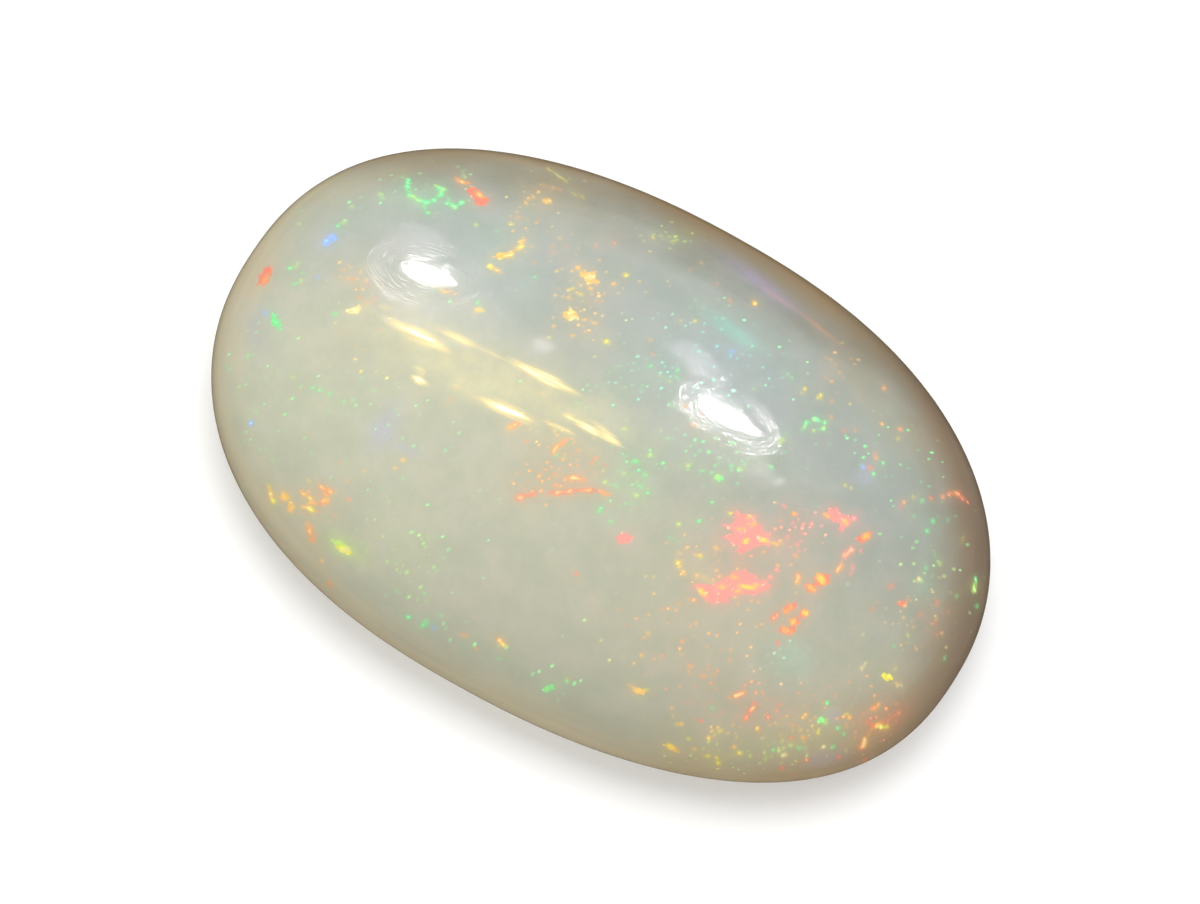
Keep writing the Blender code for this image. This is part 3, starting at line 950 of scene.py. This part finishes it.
def opalMaterial():
    material = bpy.data.materials.new("white opal")
    material.use_nodes = True
    tree = material.node_tree
    shader = tree.nodes["Principled BSDF"]
    coords = node(tree, "ShaderNodeTexCoord")
    millimetres = vectorCalc(tree, "MULTIPLY", coords.outputs["Object"], (1 / mm, 1 / mm, 1 / mm))
    at = parted(tree, millimetres)

    # the milk: large clouds from cool to warm, and small mottling
    clouds = noise(tree, millimetres, 1 / opal["cloudSize"], 2.0, Distortion=0.6)
    mottle = noise(tree, millimetres, 1 / opal["mottleSize"], 3.0, Roughness=0.62)
    drift = calc(tree, "MULTIPLY_ADD", clouds, 3.0, -1.5)
    milk = blend(tree, ramp(tree, plus(tree, at[1], drift), -3.5, 3.0), opal["warmMilk"], opal["coolMilk"])
    # painted shade: the milk darkens towards +X, mixed with random mottling
    shade = calc(tree, "MULTIPLY_ADD", at[0], -opal["paintedShadeSlope"], 1.0)
    shade = times(tree, shade, ramp(tree, mottle, 0.25, 0.75, 0.96, 1.04))
    milk = blend(tree, 1.0, milk, grey(tree, shade), "MULTIPLY")
    tints = blend(tree, ramp(tree, mottle, 0.35, 0.65), (0.985, 1.006, 0.992, 1), (1.014, 0.998, 1.010, 1))
    milk = blend(tree, 1.0, milk, tints, "MULTIPLY")

    # lines that run round the stone
    rings = noise(tree, vectorCalc(tree, "MULTIPLY", millimetres, (0.20, 0.20, 2.4)), 1.0, 2.0)

    # the girdle band: tan skin with painted shade, darker and reaching higher towards +X and +Y, and paler
    # with painted light on the near side
    side = calc(tree, "MULTIPLY_ADD", at[1], 0.08, times(tree, at[0], 0.05))
    side = plus(tree, side, calc(tree, "MULTIPLY_ADD", clouds, 0.3, -0.15))
    skinWithPaintedShade = blend(tree, ramp(tree, side, -0.55, 0.25), opal["paleSkinWithPaintedLight"], opal["skinWithPaintedShade"])
    endward = calc(tree, "MULTIPLY_ADD", at[0], 0.075, times(tree, at[1], 0.05))
    skinWithPaintedShade = blend(tree, ramp(tree, endward, 0.48, 0.94), skinWithPaintedShade, opal["darkSkinWithPaintedShade"])
    reach = calc(tree, "MULTIPLY_ADD", at[1], 0.16, calc(tree, "MULTIPLY_ADD", clouds, 1.2, -0.6))
    reach = plus(tree, reach, ramp(tree, at[0], 3.0, 10.5, 0.0, 0.1))
    reach = plus(tree, reach, rings)
    depth = minus(tree, plus(tree, reach, opal["shadedSkinTop"]), at[2])
    skinWithPaintedShade = blend(tree, 1.0, skinWithPaintedShade, grey(tree, ramp(tree, rings, 0.3, 0.7, 0.955, 1.045)), "MULTIPLY")
    farSide = ramp(tree, calc(tree, "MULTIPLY_ADD", at[0], -0.15, at[1]), 3.4, 5.2)
    covered = ramp(tree, calc(tree, "MULTIPLY_ADD", farSide, -0.6, depth), 0.0, opal["shadedSkinFade"])
    body = blend(tree, covered, milk, skinWithPaintedShade)
    # painted shade: the far side dims towards its edge
    paintedEdgeShade = times(tree, farSide, ramp(tree, depth, -0.2, 1.0))
    body = blend(tree, paintedEdgeShade, body, opal["paintedEdgeShade"], "MULTIPLY")

    # soft veils of colour, among them painted shade, painted sheen and painted reflections
    veil = node(tree, "ShaderNodeAttribute", attribute_name="veil")
    thick = times(tree, veil.outputs["Alpha"], ramp(tree, mottle, 0.3, 0.7, 0.75, 1.2))
    body = blend(tree, thick, body, veil.outputs["Color"])
    glow = (0, 0, 0, 1)

    # the grains' pattern lies flat over the dome and is wrapped round the steep sides
    slant = framed(tree, millimetres, Rotation=(0, 0, math.radians(opal["grainSlant"])),
                   Scale=(opal["grainStretch"], 1.0, 1.0))
    around = calc(tree, "ARCTAN2", calc(tree, "DIVIDE", at[1], stone["Width"] / mm),
                  calc(tree, "DIVIDE", at[0], stone["Length"] / mm))
    girth = (stone["Width"] + stone["Length"]) / 4 / mm
    walled = node(tree, "ShaderNodeCombineXYZ", {0: times(tree, around, girth), 1: at[2]})
    upright = parted(tree, coords.outputs["Normal"])[2]
    steep = calc(tree, "LESS_THAN", calc(tree, "ABSOLUTE", upright), 0.3)
    grain, flame, bead = (node(tree, "ShaderNodeAttribute", attribute_name=name)
                          for name in ("grainFire", "flameFire", "beadFire"))
    laid = mixedPlace(tree, steep, slant.outputs[0], walled.outputs[0])
    grains = placed(tree, grainGroup(), {
        "Place": laid, "Share": grain.outputs["Alpha"], "Pitch": opal["grainPitch"],
    })

    # solid flashes are torn by noise and by the grains
    ragged = noise(tree, millimetres, 6.0, 2.0, Roughness=0.7)
    pebble = grains["Pebble"]
    torn = calc(tree, "MULTIPLY_ADD", ragged, 0.5, minus(tree, flame.outputs["Alpha"], 0.45))
    torn = calc(tree, "MULTIPLY_ADD", pebble, 0.4, torn)
    flameMask = times(tree, ramp(tree, torn, 0.30, 0.66), ramp(tree, flame.outputs["Alpha"], 0.05, 0.3))
    flameMask = times(tree, flameMask, ramp(tree, ragged, 0.35, 0.6, 0.62, 0.92))
    flameCore = times(tree, ramp(tree, pebble, 0.2, 0.9, 0.3, 1.0), ramp(tree, ragged, 0.56, 0.70))
    rough = calc(tree, "MULTIPLY_ADD", ragged, 0.3, minus(tree, bead.outputs["Alpha"], 0.15))
    beadMask = times(tree, ramp(tree, rough, 0.08, 0.84), 0.88)
    beadCore = ramp(tree, bead.outputs["Alpha"], 0.50, 0.90)

    # small grains of fire, then solid flashes, then single beads
    flash = flashGroup()
    for layer, mask, core, shining in ((grain, grains["Mask"], grains["Core"], opal["grainGlow"]),
                                       (flame, flameMask, flameCore, opal["flameGlow"]),
                                       (bead, beadMask, beadCore, opal["beadGlow"])):
        over = placed(tree, flash, {"Under": body, "Glow Under": glow, "Tint": layer.outputs["Color"],
                                    "Mask": mask, "Core": core, "Glow": shining})
        body = over["Colour"]
        glow = over["Glow"]

    # painted sheen: streaks drawn out along the stone, with a painted glow
    sheenStreak = node(tree, "ShaderNodeAttribute", attribute_name="sheenStreak")
    drawn = framed(tree, millimetres, Rotation=(0, 0, math.radians(5)), Scale=(1.3, 0.10, 0.5))
    thread = ramp(tree, noise(tree, drawn.outputs[0], 1.0, 2.0), 0.30, 0.70, 0.55, 1.30)
    shine = times(tree, sheenStreak.outputs["Alpha"], thread)
    body = blend(tree, ramp(tree, shine, 0.0, 0.62, 0.0, 0.85), body, opal["streakEdge"])
    body = blend(tree, ramp(tree, shine, 0.58, 1.05), body, opal["streakHeart"])
    glow = blend(tree, ramp(tree, shine, 0.35, 1.2, 0.0, 0.7), glow, opal["streakGlow"])
    plug(tree, body, shader.inputs["Base Color"])
    plug(tree, glow, shader.inputs["Emission Color"])
    shader.inputs["Emission Strength"].default_value = 1.0

    # the polish, and the matt ground back
    ground = ramp(tree, at[2], 0.08, 0.02)
    roughness = ramp(tree, ground, 0.0, 1.0, opal["roughness"], opal["groundRoughness"])
    plug(tree, roughness, shader.inputs["Roughness"])
    scratches = placed(tree, scratchGroup(), {"Place": millimetres})
    bump = node(tree, "ShaderNodeBump", {
        "Height": scratches["Height"], "Strength": 1.0, "Distance": opal["scratchHeight"] * mm,
    })

    # the swirl round the nearer highlight; its frames are set when the lamps are placed
    first, second = (framed(tree, millimetres).outputs[0] for number in (1, 2))
    first.node.name, second.node.name = "swirl 1", "swirl 2"
    later = calc(tree, "LESS_THAN", vectorCalc(tree, "LENGTH", second), vectorCalc(tree, "LENGTH", first))
    swirl = placed(tree, swirlGroup(), {"Place": mixedPlace(tree, later, first, second)})
    arcs = times(tree, swirl["Height"], ramp(tree, later, 0.0, 1.0, *opal["swirlHeights"]))
    bump = node(tree, "ShaderNodeBump", {
        "Height": arcs, "Strength": 1.0, "Distance": mm, "Normal": bump.outputs[0],
    })
    plug(tree, bump.outputs[0], shader.inputs["Normal"])

    shader.inputs["IOR"].default_value = opal["ior"]
    shader.inputs["Coat Weight"].default_value = opal["haze"]
    shader.inputs["Coat Roughness"].default_value = opal["hazeRoughness"]
    shader.inputs["Subsurface Weight"].default_value = opal["subsurface"]
    shader.inputs["Subsurface Radius"].default_value = opal["subsurfaceRadius"]
    shader.inputs["Subsurface Scale"].default_value = opal["subsurfaceScale"] * mm
    return material


# the studio: a lit white table, two big soft key lights and two small lamps that mirror in the polish

studio = {
    "table": 0.5,                       # half width, in metres
    "tableWhite": (0.66, 0.66, 0.66, 1),
    "tableGlow": 0.38,                  # the table is lit from below too
    "sky": 0.34,
    "mirroredLow": (0.10, 0.075, 0.05, 1),      # what the polish mirrors, from the horizon to overhead
    "mirroredHigh": (0.55, 0.56, 0.58, 1),
    "keysFrom": [(-0.11, 0.10, 1.0), (0.11, 0.10, 1.0)],
    "keyPower": 0.50,
    "keySize": 0.17,
    "keyDistance": 0.35,
    "keyAim": (0, 0, 0.003),
    # ends and width in pixels, how blunt the ends are, how much fuller the first end is and the arcs' reach
    "highlights": [
        ((402, 265), (455, 284), 15, 2.4, 0.5, 1.0),
        ((701, 399), (762, 437), 16, 1.6, 0.1, 0.75),
    ],
    "lampDistance": 0.30,
    "lampShine": 240.0,
}


def makeTable():
    half = studio["table"]
    mesh = bpy.data.meshes.new("table")
    corners = [(-half, -half, 0), (half, -half, 0), (half, half, 0), (-half, half, 0)]
    mesh.from_pydata(corners, [], [(0, 1, 2, 3)])
    material = bpy.data.materials.new("lit white table")
    material.use_nodes = True
    shader = material.node_tree.nodes["Principled BSDF"]
    shader.inputs["Base Color"].default_value = studio["tableWhite"]
    shader.inputs["Roughness"].default_value = 0.9
    shader.inputs["Specular IOR Level"].default_value = 0.0
    shader.inputs["Emission Color"].default_value = (1, 1, 1, 1)
    shader.inputs["Emission Strength"].default_value = studio["tableGlow"]
    mesh.materials.append(material)
    table = bpy.data.objects.new("table", mesh)
    table.visible_glossy = False
    bpy.context.scene.collection.objects.link(table)


def makeLight(name, place, aim, size, power):
    data = bpy.data.lights.new(name, "AREA")
    data.shape = "DISK"
    data.size = size
    data.energy = power
    light = bpy.data.objects.new(name, data)
    light.location = place
    light.rotation_mode = "QUATERNION"
    light.rotation_quaternion = (Vector(aim) - Vector(place)).to_track_quat("-Z", "Y")
    light.visible_camera = False
    bpy.context.scene.collection.objects.link(light)
    return light


def shapeLamp(data, bluntness, lean):
    # masks a square lamp to the shape of a boat, fuller towards one end
    data.use_nodes = True
    tree = data.node_tree
    shade = tree.nodes["Emission"]
    place = parted(tree, node(tree, "ShaderNodeNewGeometry").outputs["Parametric"])
    along = calc(tree, "MULTIPLY_ADD", place[0], 2.0, -1.0)
    across = calc(tree, "ABSOLUTE", calc(tree, "MULTIPLY_ADD", place[1], 2.0, -1.0))
    taper = minus(tree, 1.0, calc(tree, "POWER", calc(tree, "ABSOLUTE", along), bluntness))
    breadth = calc(tree, "MULTIPLY_ADD", along, -lean, 1.0)
    inside = minus(tree, times(tree, taper, breadth), across)
    plug(tree, ramp(tree, inside, -0.02, 0.04), shade.inputs["Strength"])


def makeLamps(cam, material, x, y, places, normals):
    # each lamp stands where the polish mirrors it at its pixels, and is as large as its highlight asks
    toCamera = np.array(cam.location) - places
    hidden = np.einsum("ij,ij->i", normals, toCamera) < 0

    def surfaceAt(px, py):
        near = np.argsort(np.hypot(x - px, y - py) + hidden * 1e6)[:10]
        normal = normals[near].mean(0)
        return places[near].mean(0), normal / np.linalg.norm(normal)

    def mirrored(px, py):
        spot, normal = surfaceAt(px, py)
        view = np.array(cam.location) - spot
        view /= np.linalg.norm(view)
        ray = 2 * normal * (normal @ view) - view
        return Vector(spot + ray * studio["lampDistance"])

    for number, (start, end, width, bluntness, lean, spread) in enumerate(studio["highlights"], 1):
        middle = ((start[0] + end[0]) / 2, (start[1] + end[1]) / 2)
        length = math.dist(start, end)
        side = ((end[1] - start[1]) / length * width / 2, (start[0] - end[0]) / length * width / 2)
        spot = surfaceAt(*middle)[0]
        place = mirrored(*middle)
        across = (mirrored(middle[0] + side[0], middle[1] + side[1])
                  - mirrored(middle[0] - side[0], middle[1] - side[1]))
        lengthwise = mirrored(*end) - mirrored(*start)
        lamp = makeLight(f"lamp_{number}", place, spot, lengthwise.length, 1.0)
        back = (place - Vector(spot)).normalized()
        right = (lengthwise - back * lengthwise.dot(back)).normalized()
        lamp.rotation_quaternion = Matrix((right, back.cross(right), back)).transposed().to_quaternion()
        lamp.data.shape = "RECTANGLE"
        shapeLamp(lamp.data, bluntness, lean)
        lamp.data.size_y = across.length
        lamp.data.energy = studio["lampShine"] * math.pi * lengthwise.length * across.length
        lamp.visible_diffuse = False
        print(f"lamp {number}: {lengthwise.length / mm:.0f} x {across.length / mm:.0f} mm")

        # the polishing swirl lies round the same spot
        first, last = surfaceAt(*start)[0], surfaceAt(*end)[0]
        swirl = material.node_tree.nodes[f"swirl {number}"]
        reach = spread * np.linalg.norm(last - first) / 2 / mm
        swirl.inputs["Location"].default_value = spot / mm
        swirl.inputs["Rotation"].default_value = (0, 0, math.atan2(last[1] - first[1], last[0] - first[0]))
        swirl.inputs["Scale"].default_value = (reach, reach * 0.5, 100)


def makeSky():
    world = bpy.data.worlds.new("studio")
    world.use_nodes = True
    tree = world.node_tree
    tree.nodes.clear()
    ray = node(tree, "ShaderNodeLightPath")
    up = parted(tree, node(tree, "ShaderNodeTexCoord").outputs["Generated"])[2]
    soft = blend(tree, ramp(tree, up, -0.1, 0.9), studio["mirroredLow"], studio["mirroredHigh"])
    sky = (studio["sky"], studio["sky"], studio["sky"], 1)
    colour = blend(tree, ray.outputs["Is Glossy Ray"], sky, soft)
    colour = blend(tree, ray.outputs["Is Camera Ray"], colour, (1, 1, 1, 1))
    background = node(tree, "ShaderNodeBackground", {"Color": colour, "Strength": 1.0})
    node(tree, "ShaderNodeOutputWorld", {"Surface": background.outputs[0]})
    bpy.context.scene.world = world


cam = makeCamera()
print("camera set")
whiteOpal = opalMaterial()
cabochon = makeStone(whiteOpal)
print(f"stone cut: {len(cabochon.data.polygons)} faces")
x, y, places, normals = paintFire(cabochon, cam)
print("fire painted")
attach(cabochon, "root")
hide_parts("opal_stone")

makeTable()
makeSky()
for number, direction in enumerate(studio["keysFrom"], 1):
    key = makeLight(f"key_{number}", Vector(direction).normalized() * studio["keyDistance"], studio["keyAim"],
                    studio["keySize"], studio["keyPower"])
    key.visible_glossy = False
makeLamps(cam, whiteOpal, x, y, places, normals)
bpy.context.scene.view_settings.view_transform = "Standard"
print("studio lit")
